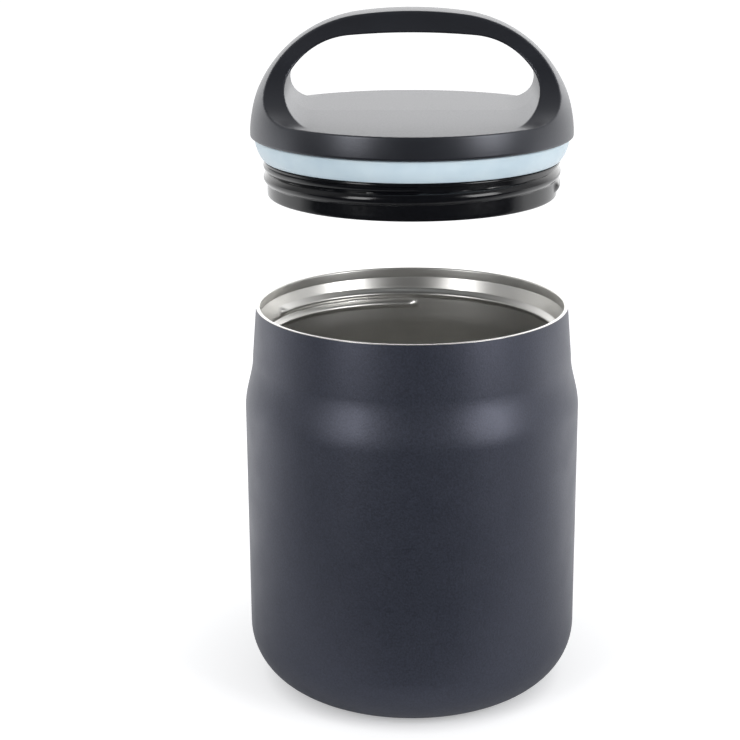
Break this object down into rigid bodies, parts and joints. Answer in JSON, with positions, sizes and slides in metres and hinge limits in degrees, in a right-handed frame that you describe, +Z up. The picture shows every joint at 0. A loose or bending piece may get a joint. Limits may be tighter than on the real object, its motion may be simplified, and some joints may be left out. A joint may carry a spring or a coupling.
{
  "type": "insulated food jar",
  "caption": "Wide-mouth vacuum-insulated food jar, open, with a screw-in stopper lid held above it; the lid has an arched carrying handle and a pale seal.",
  "frame": {"origin": "on the jar's axis, in the plane that the jar stands on", "axes": "+Z up along the axis of jar and lid; X along the span of the lid's handle; the picture looks along +Y"},
  "size_m": [0.096, 0.096, 0.1958],
  "materials": {
    "powder_coat": "fine textured charcoal powder coat",
    "bare_steel": "drawn and polished stainless steel",
    "copper_foil": "bright copper foil",
    "getter": "pressed metal powder",
    "cover_plastic": "fine-grained satin black polypropylene",
    "stopper_plastic": "gloss black polypropylene",
    "foam": "white expanded foam",
    "silicone": "pale blue-white translucent silicone"
  },
  "bodies": {
    "jar": {"outer_shell": "powder_coat", "inner_liner": "bare_steel", "radiation_foil": "copper_foil", "vacuum_base": "bare_steel", "seal_off_bead": "bare_steel", "getter_clip": "bare_steel", "getter_pellet": "getter", "base_cover": "bare_steel"},
    "insulation": {"insulation_disc": "foam"},
    "seal": {"seal_ring": "silicone"},
    "lid": {"lid_cover": "cover_plastic", "lid_stopper": "stopper_plastic"}
  },
  "joints": [
    {"name": "lid_lift", "type": "slide", "parent": "jar", "child": "insulation", "axis": [0, 0, 1], "range_m": [-0.04222, 0.06]},
    {"name": "lid_thread_travel", "type": "slide", "parent": "insulation", "child": "seal", "axis": [0, 0, 1], "range_m": [-0.0027, 0]},
    {"name": "lid_turn", "type": "hinge", "parent": "seal", "child": "lid", "pos_m": [0, 0, 0.1615], "axis": [0, 0, 1], "range_deg": [-288, 0]}
  ],
  "couplings": [
    {"joint": "lid_thread_travel", "follows": "lid_turn", "m_per_rad": 0.00053317}
  ]
}
